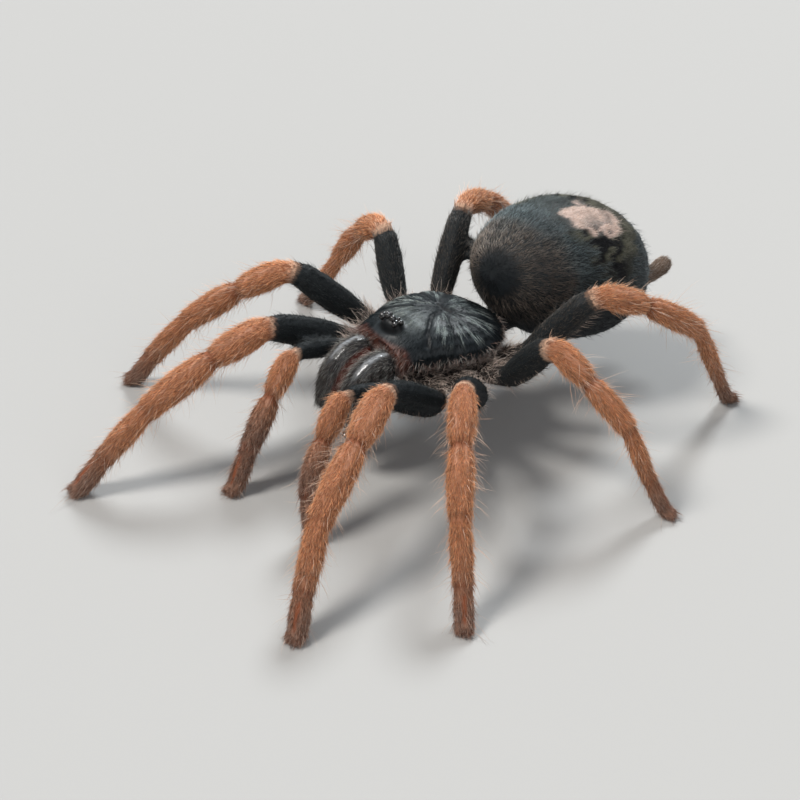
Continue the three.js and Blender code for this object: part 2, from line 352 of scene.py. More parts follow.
def makeGrainGroup():
    # fine streaks that follow the lie of the coat, from the surface's own along-and-around places
    group, given, result = newGroup(
        "coatGrain",
        [("Scale", "NodeSocketFloat", 6.0), ("Stretch", "NodeSocketFloat", 0.18)],
        [("Streaks", "NodeSocketFloat")],
    )
    squeeze = addNode(group, "ShaderNodeCombineXYZ", {"X": given.outputs["Stretch"], "Y": 1.0, "Z": 1.0})
    lie = attribute(group, "lie", "Vector")
    spot = addNode(group, "ShaderNodeVectorMath", {0: lie, 1: squeeze.outputs[0]}, operation="MULTIPLY")
    noise = addNode(group, "ShaderNodeTexNoise", {"Vector": spot.outputs[0], "Scale": given.outputs["Scale"],
                                                  "Detail": 3.0, "Roughness": 0.6})
    group.links.new(noise.outputs["Fac"], result.inputs["Streaks"])
    return group


hairToneGroup = makeHairToneGroup()
grainGroup = makeGrainGroup()


def newMaterial(name, look):
    material = bpy.data.materials.new(name)
    material.use_nodes = True
    shader = material.node_tree.nodes["Principled BSDF"]
    shader.inputs["Roughness"].default_value = look["roughness"]
    shader.inputs["Coat Weight"].default_value = look.get("coat", 0.0)
    shader.inputs["Specular IOR Level"].default_value = look.get("specular", 0.5)
    return material, material.node_tree, shader


def rgba(colour):
    return (*colour, 1.0)


def layered(tree, layers, shadeOf):
    # a first colour, and over it one after another where its attribute says
    colour = None
    for mask, *shades in layers:
        shade = rgba(shades[0]) if len(shades) == 1 else shadeOf(*shades)
        colour = shade if colour is None else mixColour(tree, attribute(tree, mask), colour, shade)
    return colour


def makeHideMaterial(name, look):
    # two streaky colours or one plain colour for each layer
    material, tree, shader = newMaterial(name, look)
    grain = addGroup(tree, grainGroup, Scale=look["grain"], Stretch=look["stretch"])
    streaks = grain.outputs["Streaks"]
    colour = layered(tree, look["layers"],
                     lambda low, high: mixColour(tree, streaks, rgba(low), rgba(high)))
    tree.links.new(colour, shader.inputs["Base Color"])
    bump = addNode(tree, "ShaderNodeBump",
                   {"Height": streaks, "Distance": look["bump"] * mm, "Strength": look["bumpStrength"]})
    tree.links.new(bump.outputs[0], shader.inputs["Normal"])
    return material


def makeHairMaterial(name, look):
    # root, middle, tip and spread, or one plain colour, for each layer
    material, tree, shader = newMaterial(name, look)

    def tone(root, middle, tip, spread):
        shades = {"Root": rgba(root), "Middle": rgba(middle), "Tip": rgba(tip)}
        return addGroup(tree, hairToneGroup, **shades, Spread=spread).outputs["Colour"]

    tree.links.new(layered(tree, look["layers"], tone), shader.inputs["Base Color"])
    return material


# limb paths read from the solids

pathSetup = {"gap": 0.5, "toe": 0.5, "rootHeight": 7, "rootLength": 3, "steps": 26, "rounding": 14}


def ringBetween(first, second):
    # the middle of the thin gap between two neighbouring solids
    a, b = nodePoints(first), nodePoints(second)
    gaps = np.linalg.norm(a[:, None] - b[None], axis=2)
    near = pathSetup["gap"] * mm
    return (a[gaps.min(1) < near].mean(0) + b[gaps.min(0) < near].mean(0)) / 2


def segmentNames(limb):
    names = ["femur", "patella", "tibia", "metatarsus", "tarsus"]
    return [name for name in names if limb != "palp" or name != "metatarsus"]


class LimbPath:
    # the middle line of a limb, from its root in the underside to the toe
    def __init__(self, limb, side):
        names = [f"{limb}_{side}_{segment}" for segment in segmentNames(limb)]
        self.limb, self.side, self.nodes = limb, side, names
        chain = ["underside"] + names
        joints = [ringBetween(a, b) for a, b in zip(chain, chain[1:])]
        foot = nodePoints(names[-1])
        away = np.linalg.norm(foot - joints[-1], axis=1)
        joints.append(foot[away > away.max() - pathSetup["toe"] * mm].mean(0))
        inwards = unit(np.array(origin) + (0, 0, pathSetup["rootHeight"] * mm) - joints[0])
        coxa = joints[0] + inwards * pathSetup["rootLength"] * mm
        self.sample(np.array([coxa] + joints))

    def sample(self, corners):
        points, marks = [corners[0]], [0.0]
        for index in range(len(corners) - 1):
            span = np.linspace(0, 1, pathSetup["steps"] + 1)[1:, None]
            points.extend(corners[index] + (corners[index + 1] - corners[index]) * span)
            marks.extend((index + span[:, 0]).tolist())
        points = np.array(points)
        for _ in range(pathSetup["rounding"]):
            points[1:-1] = (points[:-2] + 2 * points[1:-1] + points[2:]) / 4
        self.points = points
        self.marks = np.array(marks)  # 0-1 coxa, 1-2 femur, 2-3 patella and so on
        self.along = unit(np.gradient(points, axis=0))
        self.reach = np.concatenate([[0], np.cumsum(np.linalg.norm(np.diff(points, axis=0), axis=1))])
        self.sideways = unit(np.cross(self.along, (0, 0, 1)))
        self.above = np.cross(self.sideways, self.along)
        self.tree = KDTree(len(points))
        for index, point in enumerate(points):
            self.tree.insert(point, index)
        self.tree.balance()

    def locate(self, points):
        # for each point: its mark, distance along, angle round from the top, and the lie of the coat there
        index = np.array([self.tree.find(point)[1] for point in points], int)
        offset = points - self.points[index]
        angle = np.arctan2((offset * self.sideways[index]).sum(1), (offset * self.above[index]).sum(1))
        return self.marks[index], self.reach[index] / mm, angle, self.along[index]


limbPaths = {(limb, side): LimbPath(limb, side) for limb in limbNames for side in sides}
print("limb paths read")


# one skin over the flesh

skinSetup = {"swell": 0.2, "voxel": 0.2, "smoothing": 4, "sink": 0.17}
abdomenAxis = {"behind": 14.1, "above": 11.15, "droop": 15.5, "half": (7.15, 8.9, 6.3)}
rootSetup = {"reach": 1.68, "mark": 1.2}  # how far a limb's own coat spreads on the underside

# each skin point's part: a limb's place in limbPaths, palps first, or one of these
partNumbers = {"abdomen": 20, "spinneret": 21, "underside": 22}

fleshNodes = [node for path in limbPaths.values() for node in path.nodes]
fleshNodes += ["underside", "abdomen", "spinneret_left", "spinneret_right"]


def toAbdomen(points):
    # frame metres to the egg's own axes, scaled so that its surface is near 1
    points = (points - np.array(origin)) / mm - (0, abdomenAxis["behind"], abdomenAxis["above"])
    return pitched(points, abdomenAxis["droop"]) / abdomenAxis["half"]


def abdomenAlong():
    droop = math.radians(abdomenAxis["droop"])
    return np.array((0, math.cos(droop), -math.sin(droop)))


def nodeLabels(points):
    # which solid each point lies nearest to
    tree = KDTree(sum(len(frame["nodes"][node].data.vertices) for node in fleshNodes) * 2)
    for number, node in enumerate(fleshNodes):
        mesh = frame["nodes"][node].data
        spots = [v.co for v in mesh.vertices] + [p.center for p in mesh.polygons]
        for spot in spots[: 2 * len(mesh.vertices)]:
            tree.insert(spot, number)
    tree.balance()
    return np.array([tree.find(point)[1] for point in points], int)


class Surface:
    # the points of a mesh that carries a coat
    def __init__(self, mesh):
        self.points = vertexArray(mesh)
        self.normals = normalArray(mesh)
        self.triangles = triangleArray(mesh)
        self.spot = toBody(self.points)
        self.spread = np.zeros(len(self.points))


class SkinFields(Surface):
    # what every skin point knows: its part, its place on that part, and the lie of the coat
    def __init__(self, mesh):
        super().__init__(mesh)
        count = len(self.points)
        labels = nodeLabels(self.points)
        self.part = np.full(count, -1)
        self.mark, self.reach, self.angle, self.joint = np.zeros((4, count))
        self.lie = np.zeros((count, 3))
        self.past = np.full(count, 9.0)
        for number, path in enumerate(limbPaths.values()):
            owned = np.isin(labels, [fleshNodes.index(node) for node in path.nodes])
            self.fill(owned, number, *path.locate(self.points[owned]))
            self.joint[owned] = np.round(self.mark[owned])
            jointReach = np.interp(self.joint[owned], path.marks, path.reach) / mm
            self.past[owned] = self.reach[owned] - jointReach
        self.fillUnderside(labels == fleshNodes.index("underside"))
        egg = labels == fleshNodes.index("abdomen")
        spot = toAbdomen(self.points[egg])
        self.fill(egg, partNumbers["abdomen"], 0, spot[:, 1] * abdomenAxis["half"][1],
                  np.arctan2(spot[:, 0], spot[:, 2]), abdomenAlong())
        for side, sign in sides.items():
            owned = labels == fleshNodes.index(f"spinneret_{side}")
            low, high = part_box(f"spinneret_{side}")
            offset = self.points[owned] - np.array((low + high) / 2)
            self.fill(owned, partNumbers["spinneret"], 0, offset[:, 1] / mm,
                      np.arctan2(offset[:, 0], offset[:, 2]), unit(np.array([0.1 * sign, 1.0, 0.25])))
        self.lie = laidOn(self.lie, self.normals)
        self.spread = self.part * 3.0
        self.limb = self.part < partNumbers["abdomen"]
        self.palp = self.part < 2
        self.last = np.where(self.palp, 4, 5)  # the mark where the last segment begins

    def on(self, part):
        return self.part == partNumbers[part]

    def fill(self, owned, part, mark, reach, angle, lie):
        self.part[owned], self.mark[owned], self.reach[owned] = part, mark, reach
        self.angle[owned], self.lie[owned] = angle, lie

    def fillUnderside(self, owned):
        # the leg roots follow their limbs, and the breast plate's hairs point back
        points, spot = self.points[owned], self.spot[owned]
        best = np.full(len(points), rootSetup["reach"] * mm)
        mark = np.zeros(len(points))
        lie = np.tile((0.0, 1.0, 0.0), (len(points), 1))
        for path in limbPaths.values():
            found = [path.tree.find(point) for point in points]
            gap = np.array([item[2] for item in found])
            index = np.array([item[1] for item in found])
            closer = (gap < best) & (path.marks[index] < rootSetup["mark"])
            best[closer] = gap[closer]
            lie[closer] = path.along[index[closer]]
            mark[closer] = path.marks[index[closer]]
        angle = np.arctan2(spot[:, 0], spot[:, 2] + 1.5)
        self.fill(owned, partNumbers["underside"], mark, spot[:, 1], angle, lie)


# sizes and heights are shares of the egg's own half sizes
abdomenPattern = {
    "patch": {"middle": -0.02, "half": (0.66, 0.37), "height": (0.3, 0.5), "edge": (0.9, 1.02)},
    "zone": {"middle": 0.03, "half": (0.95, 0.5), "height": (0.1, 0.35), "edge": (0.9, 1.04)},
    "oneSided": {"from": 0.07, "slant": 0.22, "behind": 0.36, "strength": 0.8},
    "net": {"size": 0.52, "level": (-0.18, 0.02), "fade": (0.05, 0.3), "onPatch": 0.8, "onZone": 1.3},
}


def abdomenMarks(points):
    # pale patch on the back, olive zone with a black net round it, all with ragged edges
    spot = toAbdomen(points)
    across, behind, height = np.abs(spot[:, 0]), spot[:, 1], spot[:, 2]
    rough = ripple(points / mm, 1.3, 3) * 0.07 + ripple(points / mm, 0.5, 4) * 0.05
    side, net = abdomenPattern["oneSided"], abdomenPattern["net"]

    def oval(area):
        wide, long = area["half"]
        return np.sqrt((across / wide) ** 2 + ((behind - area["middle"]) / long) ** 2) + rough

    def within(area, away):
        return smoothStep(*area["height"], height) * (1 - smoothStep(*area["edge"], away))

    inside = spot[:, 0] - side["from"] - side["slant"] * (behind + side["behind"]) + 0.6 * rough
    away = oval(abdomenPattern["patch"]) + side["strength"] * smoothStep(0.05, -0.05, inside)
    patch = within(abdomenPattern["patch"], away)
    zone = within(abdomenPattern["zone"], oval(abdomenPattern["zone"]))
    zone *= 1 - 0.85 * smoothStep(0.55, 0.35, across) * smoothStep(0.05, -0.15, behind)
    cells = smoothStep(*net["level"], ripple(points / mm, net["size"], 5))
    cells *= 1 - 0.75 * smoothStep(*net["fade"], behind)
    edge = smoothStep(0.35, 0.9, away) * smoothStep(-0.3, -0.1, behind)
    zone *= 1 - patch
    return patch * (1 - net["onPatch"] * cells * edge), zone, cells * np.clip(zone * net["onZone"], 0, 1)


# along a limb in marks, where 2 is the knee, round it in radians from the top, and millimetres past a joint
limbMarks = {
    "dark": {"end": (1.955, 1.995), "ragged": 0.008},
    "stripes": {"angle": 0.4, "width": 0.13, "start": (2.12, 2.3), "end": (3.25, 3.7), "strength": 0.6},
    "ring": {"past": -0.06, "width": 0.12, "angle": 2.2},
    "creases": {"width": 0.28, "strengths": [1.0, 0.75, 0.45]},
    "notch": {"depth": 0.08, "width": 0.3},
    "filled": {"height": 0.15, "width": 0.6},
    "footStripe": {"start": (0.12, 0.25), "end": (0.72, 0.85), "angle": 0.36},
    "grey": {"palp": -1.5, "leg": -0.7, "length": 1.3},
}


def bareStripes(fields):
    # two thinly haired lengthwise stripes on top of the patella, running out onto the tibia
    stripes = limbMarks["stripes"]
    reach = smoothStep(*stripes["start"], fields.mark) * (1 - smoothStep(*stripes["end"], fields.mark))
    away = np.abs(fields.angle) - stripes["angle"]
    return stripes["strength"] * bell(away, stripes["width"]) * reach * fields.limb


def limbDark(fields):
    # 1 on the dark femora and leg roots, 0 on the salmon segments
    dark = limbMarks["dark"]
    return 1 - smoothStep(*dark["end"], fields.mark + dark["ragged"] * np.cos(fields.angle * 3))


def kneeRing(fields):
    # pale band where the dark femur meets the patella
    ring = limbMarks["ring"]
    band = bell(fields.past - ring["past"], ring["width"]) * (fields.joint == 2)
    return band * (np.abs(fields.angle) < ring["angle"])


def creases(fields):
    # rust-brown soft skin between segments, with painted shade in the creases, strongest past the patella
    crease = limbMarks["creases"]
    places = [fields.joint == 3, fields.joint == fields.last, fields.joint >= 4]
    return np.select(places, crease["strengths"], 0.0) * bell(fields.past, crease["width"])


def jointShape(fields):
    # millimetres inwards: a notch past the patella, and the outer joints filled by their soft membranes
    notch, filled = limbMarks["notch"], limbMarks["filled"]
    inwards = notch["depth"] * bell(fields.past, notch["width"]) * (fields.joint == 3)
    return inwards - filled["height"] * bell(fields.past, filled["width"]) * (fields.joint >= 4)


def footStripe(fields):
    # bare rust-brown stripe along the top of the last segment
    stripe, share = limbMarks["footStripe"], fields.mark - fields.last
    along = smoothStep(*stripe["start"], share) * (1 - smoothStep(*stripe["end"], share))
    return along * np.exp(-(fields.angle / stripe["angle"]) ** 4) * fields.limb


def footGrey(fields):
    # greyer towards the foot, and from further up on the palps
    grey = limbMarks["grey"]
    start = np.where(fields.palp, grey["palp"], grey["leg"])
    return smoothStep(0, grey["length"], fields.mark - fields.last - start) * fields.limb


skinLook = {
    "roughness": 0.6, "specular": 0.2, "grain": 9.0, "stretch": 0.2, "bump": 0.06, "bumpStrength": 0.8,
    "layers": [
        ("salmon", (0.17, 0.058, 0.027), (0.46, 0.2, 0.105)),
        ("grey", (0.09, 0.042, 0.026), (0.27, 0.15, 0.1)),
        ("dark", (0.003, 0.004, 0.005), (0.014, 0.018, 0.02)),
        ("bare", (0.62, 0.34, 0.23)),
        # rust-brown foot stripe, and painted shade in the joint creases
        ("rust", (0.19, 0.055, 0.022)),
        ("ring", (0.55, 0.36, 0.25)),
        ("tan", (0.06, 0.035, 0.022), (0.2, 0.13, 0.09)),
        ("patch", (0.45, 0.33, 0.28)),
        ("zone", (0.07, 0.068, 0.046)),
        ("net", (0.004, 0.004, 0.005)),
    ],
}


def makeSkin():
    mesh = remeshedNodes("skin", fleshNodes, **skinSetup)
    fields = SkinFields(mesh)
    fields.points = fields.points - fields.normals * (jointShape(fields) * mm)[:, None]
    setPoints(mesh, fields.points)
    fields.normals = normalArray(mesh)
    egg = fields.on("abdomen")
    dark = np.where(fields.limb, limbDark(fields), 1.0)
    patch, zone, net = abdomenMarks(fields.points)
    setValues(
        mesh, dark=dark, bare=bareStripes(fields) * (1 - dark),
        rust=np.maximum(creases(fields), footStripe(fields)), grey=footGrey(fields), ring=kneeRing(fields),
        tan=0.15 * fields.on("underside") + 0.8 * fields.on("spinneret"),
        patch=patch * egg, zone=zone * egg * 0.8, net=net * egg,
        lie=np.stack([fields.reach, fields.angle * 1.2, fields.spread], 1),
    )
    addObject("skin", mesh, makeHideMaterial("skin", skinLook), fleshNodes)
    return fields


skin = makeSkin()
print("skin made:", len(skin.points), "points")


# growing coats

seeds = {"limbs": 100, "abdomen": 7, "underside": 8, "shell": 21, "jaws": 30}


def scatter(fields, wanted, density, random):
    # root places over the wanted part of a surface, so many to the square millimetre
    corners = fields.points[fields.triangles]
    area = np.linalg.norm(np.cross(corners[:, 1] - corners[:, 0], corners[:, 2] - corners[:, 0]), axis=1) / 2
    share = area / mm ** 2 * (density * wanted)[fields.triangles].mean(1)
    count = int(share.sum())
    chosen = np.sort(random.choice(len(share), count, p=share / share.sum()))
    a, b = random.random((2, count))
    flip = a + b > 1
    a[flip], b[flip] = 1 - a[flip], 1 - b[flip]
    weights = np.stack([1 - a - b, a, b], 1)
    verts = fields.triangles[chosen]
    nearest = verts[np.arange(count), weights.argmax(1)]
    roots = (fields.points[verts] * weights[:, :, None]).sum(1)
    normals = unit((fields.normals[verts] * weights[:, :, None]).sum(1))
    return roots, normals, nearest


# how deep a hair starts, its taper, the lowest it may reach, and where its three sides face
hairShape = {"sunk": 0.04, "taper": 0.8, "taperPower": 1.4, "lowest": 0.01, "sides": (210, 330, 90)}


def hairFaces(rings):
    # the triangles of one hair, and where each lies on the hair's patch of the UV map
    faces, places = [(0, 2, 1)], [((0, 0), (0.3, 0), (0, 0.2))]
    for ring in range(rings):
        for k in range(3):
            a, b = ring * 3 + k, ring * 3 + (k + 1) % 3
            low, high = ring / rings, (ring + 1) / rings
            left, right = k / 3, (k + 1) / 3
            if ring == rings - 1:
                faces.append((a, b, rings * 3))
                places.append(((left, low), (right, low), ((left + right) / 2, 1)))
            else:
                faces += [(a, b, b + 3), (a, b + 3, a + 3)]
                places.append(((left, low), (right, low), (right, high)))
                places.append(((left, low), (right, high), (left, high)))
    return np.array(faces), np.array(places)


def hairMesh(name, roots, normals, lie, length, width, lift, bend, rings, uv, values, patchSize=0.003):
    # every hair is a closed three-sided spike of several rings that curves from its lift towards the skin
    count = len(roots)
    lie = laidOn(lie, normals)
    start = lie * np.cos(lift)[:, None] + normals * np.sin(lift)[:, None]
    end = lie * np.cos(lift - bend)[:, None] + normals * np.sin(lift - bend)[:, None]
    side = unit(np.cross(start, normals))
    up = np.cross(side, start)
    roots = roots - normals * hairShape["sunk"] * mm

    def centre(t):
        return roots + (length * t)[:, None] * start + (length * t * t / 2)[:, None] * (end - start)

    steps = np.arange(rings) / rings
    layers = []
    for t in steps:
        radius = (width / 2 * (1 - hairShape["taper"] * t ** hairShape["taperPower"]))[:, None]
        around = [centre(t) + radius * (side * math.cos(turn) + up * math.sin(turn))
                  for turn in map(math.radians, hairShape["sides"])]
        layers.append(np.stack(around, 1))
    layers.append(centre(1.0)[:, None])
    points = np.concatenate(layers, 1)
    perHair = points.shape[1]
    points = points.reshape(-1, 3)
    points[:, 2] = np.maximum(points[:, 2], hairShape["lowest"] * mm)
    faces, places = hairFaces(rings)
    corners = (np.arange(count)[:, None, None] * perHair + faces[None]).reshape(-1, 3)
    mesh = bpy.data.meshes.new(name)
    mesh.vertices.add(len(points))
    mesh.vertices.foreach_set("co", points.astype(np.float32).ravel())
    mesh.loops.add(corners.size)
    mesh.loops.foreach_set("vertex_index", corners.astype(np.int32).ravel())
    mesh.polygons.add(len(corners))
    mesh.polygons.foreach_set("loop_start", np.arange(0, corners.size, 3, dtype=np.int32))
    mesh.update(calc_edges=True)
    mesh.shade_smooth()
    spots = uv[:, None, None, :] + places[None] * patchSize
    mesh.uv_layers.new(name="OFBake").data.foreach_set("uv", spots.astype(np.float32).ravel())
    levels = np.concatenate([np.repeat(steps, 3), [1.0]])
    perPoint = {key: np.repeat(value, perHair, axis=0) for key, value in values.items()}
    setValues(mesh, along=np.tile(levels, count), **perPoint)
    return mesh


def wander(lie, normals, spread, random):
    # turn each lie a little to one side or the other
    turn = random.normal(0, spread, len(lie))[:, None]
    return lie * np.cos(turn) + np.cross(normals, lie) * np.sin(turn)


def cylinderPlaces(reach, angle):
    # unwrap: distance along in one direction, angle round in the other
    low, high = reach.min(), reach.max()
    u = 0.02 + 0.95 * (reach - low) / max(high - low, 1e-6)
    v = 0.02 + 0.95 * (angle / (2 * math.pi) + 0.5)
    return np.stack([u, v], 1)


def strands(fields, nearest, seed):
    # neighbouring hairs lie together in long narrow locks
    spot = np.stack([fields.reach * 0.13, fields.angle * 1.2, fields.spread], 1)[nearest]
    return ripple(spot, 0.13, seed)


def growLayer(name, fields, wanted, layer, colours, random):
    # one layer of hairs over part of a surface
    roots, normals, nearest = scatter(fields, wanted, layer["density"], random)
    count = len(roots)
    lock = strands(fields, nearest, 41)
    length = layer["length"] * np.exp(random.normal(0, layer.get("vary", 0.2), count)) * mm
    if "lengthOf" in layer:
        length *= layer["lengthOf"](fields)[nearest]
    width = layer["width"] * random.uniform(0.75, 1.25, count) * mm
    lift = np.radians(np.clip(random.normal(layer["lift"], layer.get("liftVary", 6), count), 3, 88))
    bend = np.radians(layer.get("bend", 0)) * random.uniform(0.4, 1.3, count)
    lie = wander(fields.lie[nearest], normals, layer.get("spread", 0.2), random)
    lie += np.cross(normals, lie) * (0.12 * strands(fields, nearest, 42))[:, None]
    values = {"tone": np.clip(0.5 + 0.22 * lock + 0.6 * (random.random(count) - 0.5), 0, 1)}
    for key, source in colours.items():
        # a function of the hairs' places, an array over the surface's points, or one number
        if callable(source):
            values[key] = source(nearest, roots)
        elif isinstance(source, np.ndarray):
            values[key] = source[nearest]
        else:
            values[key] = np.full(count, float(source))
    uv = cylinderPlaces(fields.reach[nearest], fields.angle[nearest])
    return hairMesh(name, roots, normals, lie, length, width, lift, bend, layer["rings"], uv, values)


def drawn(random, low, high):
    # a number of its own for each hair
    return lambda nearest, roots: random.uniform(low, high, len(roots))


def joinMeshes(name, meshes):
    pieces = [link(name, mesh) for mesh in meshes]
    if len(pieces) > 1:
        with bpy.context.temp_override(active_object=pieces[0], selected_editable_objects=pieces):
            bpy.ops.object.join()
    mesh = pieces[0].data
    bpy.data.objects.remove(pieces[0])
    mesh.name = name
    return mesh


def growCoat(name, fields, coat, layers, material, random):
    # several layers of hairs, each with its places and colours, as one piece
    meshes = [growLayer(layer, fields, wanted, coat[layer], colours, random)
              for layer, wanted, colours in layers]
    addObject(name, joinMeshes(name, meshes), material)


def coatSize():
    return sum(len(o.data.polygons) for o in scene.objects if o.name.startswith("coat_"))


def shortLength(fields):
    # shorter on the femora and in the creases
    return (1 - 0.4 * limbDark(fields)) * (1 - 0.65 * creases(fields))


def longPlaces(fields):
    # long pale hairs stand mostly on the flanks past the knee
    flank = 0.3 + 0.7 * smoothStep(0.5, 1.2, np.abs(fields.angle))
    past = smoothStep(2.1, 2.6, fields.mark) * (1 - 0.6 * footGrey(fields))
    return flank * past * (1 + 1.2 * bell(fields.past, 1.1) * (fields.joint == 3))


def spinePlaces(fields):
    # a few straight ones along the top
    return (np.abs(fields.angle) < 0.8) * (fields.mark > 2.3) * (fields.mark < fields.last)


limbCoat = {
    "short": {"density": 98, "length": 0.58, "width": 0.045, "lift": 18, "liftVary": 7, "bend": 8,
              "rings": 1,
              "spread": 0.13, "vary": 0.22, "lengthOf": shortLength},
    "middle": {"density": 13, "length": 0.9, "width": 0.032, "lift": 34, "bend": 22,
               "rings": 2, "spread": 0.25},
    "long": {"density": 3.0, "length": 1.6, "width": 0.027, "lift": 58, "liftVary": 12, "bend": 34,
             "rings": 3,
             "spread": 0.4, "vary": 0.3},
    "spine": {"density": 0.5, "length": 2.0, "width": 0.034, "lift": 48, "bend": 4,
              "rings": 2, "spread": 0.15},
    "bristle": {"density": 8, "length": 1.0, "width": 0.026, "lift": 58, "bend": 38,
                "rings": 2, "spread": 0.25},
    "dusty": {"leg_3": 0.08, "leg_4": 0.16},  # how pale the dark femora of these legs look
}
limbHairLook = {
    "roughness": 0.45, "specular": 0.25,
    "layers": [
        ("salmon", (0.2, 0.058, 0.02), (0.7, 0.305, 0.14), (0.95, 0.65, 0.44), 1.0),
        ("grey", (0.07, 0.028, 0.016), (0.29, 0.15, 0.1), (0.88, 0.69, 0.59), 1.2),
        # rust-brown foot stripe, and painted shade in the joint creases
        ("rust", (0.17, 0.045, 0.02)),
        ("dark", (0.003, 0.003, 0.004), (0.006, 0.0095, 0.0105), (0.03, 0.038, 0.039), 1.6),
        ("pale", (0.74, 0.58, 0.47)),
    ],
}


def growLimbCoats():
    material = makeHairMaterial("limbHair", limbHairLook)
    dark, grey = limbDark(skin), footGrey(skin)
    # creases: rust-brown with painted shade
    rust, ring = creases(skin) * 0.8, kneeRing(skin) * 0.5
    bare = np.maximum(0.6 * bareStripes(skin), 0.97 * footStripe(skin))
    below = smoothStep(1.9, 2.4, np.abs(skin.angle))
    for number, path in enumerate(limbPaths.values()):
        random = np.random.default_rng(seeds["limbs"] + number)
        wanted = (skin.part == number).astype(float)
        dusty = dark * limbCoat["dusty"].get(path.limb, 0)

        def kneePale(nearest, roots):
            return ring[nearest] + dusty[nearest] * random.random(len(nearest))

        usual = {"dark": dark, "grey": grey, "rust": rust, "pale": kneePale}
        light = dict(usual, pale=drawn(random, 0.4, 0.95))
        layers = [
            ("short", wanted * (1 - bare), usual),
            ("middle", wanted * (1 - bare) * (1 - 0.8 * dark), usual),
            ("long", wanted * longPlaces(skin), light),
            ("spine", wanted * spinePlaces(skin), light),
            ("bristle", wanted * dark * below, light),
        ]
        growCoat(f"coat_{path.limb}_{path.side}", skin, limbCoat, layers, material, random)


growLimbCoats()
print("limb coats grown:", coatSize(), "triangles")


# abdomen, underside and spinneret coats

abdomenCoat = {
    "short": {"density": 100, "length": 0.5, "width": 0.034, "lift": 16, "bend": 6,
              "rings": 1, "spread": 0.2},
    "long": {"density": 3, "length": 1.0, "width": 0.028, "lift": 40, "bend": 24,
             "rings": 2, "spread": 0.35},
    "split": 0.25,  # coat_back is above this height on the egg, and coat_belly below it
}
rootCoat = {
    "short": {"density": 60, "length": 0.7, "width": 0.034, "lift": 28, "bend": 20,
              "rings": 1, "spread": 0.35},
    "long": {"density": 22, "length": 1.4, "width": 0.032, "lift": 50, "bend": 60,
             "rings": 3, "spread": 0.6},
    "tail": {"density": 110, "length": 0.42, "width": 0.032, "lift": 18, "bend": 5,
             "rings": 1, "spread": 0.15},
}
abdomenHairLook = {
    "roughness": 0.5, "specular": 0.15,
    "layers": [
        ("dark", (0.004, 0.004, 0.005), (0.014, 0.016, 0.02), (0.05, 0.054, 0.06), 1.2),
        # the hairs' own blue-grey, partly a painted sheen
        ("sheen", (0.024, 0.031, 0.033), (0.135, 0.172, 0.178), (0.35, 0.415, 0.415), 0.9),
        ("zone", (0.04, 0.038, 0.026), (0.165, 0.155, 0.112), (0.32, 0.3, 0.23), 0.7),
        ("tan", (0.05, 0.038, 0.03), (0.22, 0.175, 0.14), (0.55, 0.47, 0.4), 1.1),
        ("patch", (0.5, 0.36, 0.29), (0.82, 0.66, 0.57), (0.95, 0.82, 0.73), 0.4),
        ("net", (0.005, 0.005, 0.006)),
    ],
}


def sheenEdge(points):
    # below 0 on the brown-grey front, above 0 on the cooler back; the edge lies further forward where x is
    # below 0, so a painted rim of sheen runs along that side
    spot = toAbdomen(points)
    slant = 0.3 * np.maximum(spot[:, 0], 0) - 0.08 * np.minimum(spot[:, 0], 0)
    return spot[:, 1] + 0.75 - slant + 0.05 * ripple(points / mm, 1.5, 9)


def blueGreyHairAndSheen(points):
    # the hairs' own cool grey over the top and the rear, with a painted sheen brightest in a band behind the
    # front's edge
    spot = toAbdomen(points)
    band = smoothStep(-0.35, 0.25, spot[:, 2]) * smoothStep(-0.1, 0.06, sheenEdge(points))
    strength = 1 - 0.5 * smoothStep(0.3, 0.9, sheenEdge(points))
    return band * strength * (0.85 + 0.15 * ripple(points / mm, 2.0, 8))


def frontStreaks(points, random):
    # brown-grey over the front, and none in the navy spot low on it
    spot = toAbdomen(points)
    front = (1 - smoothStep(-0.08, 0.1, sheenEdge(points))) * smoothStep(-0.75, -0.2, spot[:, 2])
    middle = np.hypot(spot[:, 0] - 0.12, spot[:, 2] / 1.1) / 0.3
    amount = front * smoothStep(0.6, 1.2, middle) * (0.85 + 0.2 * ripple(points / mm, 1.6, 10))
    low = 0.6 * smoothStep(-0.3, -0.5, spot[:, 2]) * smoothStep(-0.6, -0.8, spot[:, 1])
    return np.clip(np.maximum(amount, low) * random.uniform(0.5, 1.25, len(spot)), 0, 1)


def growAbdomenCoat(material):
    random = np.random.default_rng(seeds["abdomen"])
    colours = {
        "patch": lambda nearest, roots: abdomenMarks(roots)[0],
        "zone": lambda nearest, roots: abdomenMarks(roots)[1] * 0.9,
        "net": lambda nearest, roots: abdomenMarks(roots)[2],
        "sheen": lambda nearest, roots: blueGreyHairAndSheen(roots),
        "tan": lambda nearest, roots: frontStreaks(roots, random),
    }
    height = toAbdomen(skin.points)[:, 2]
    split = abdomenCoat["split"]
    for name, wanted in (("coat_back", height >= split), ("coat_belly", height < split)):
        wanted = wanted * skin.on("abdomen") * (1 - 0.4 * smoothStep(0.0, -0.5, height))
        layers = [(layer, wanted, colours) for layer in ("short", "long")]
        growCoat(name, skin, abdomenCoat, layers, material, random)


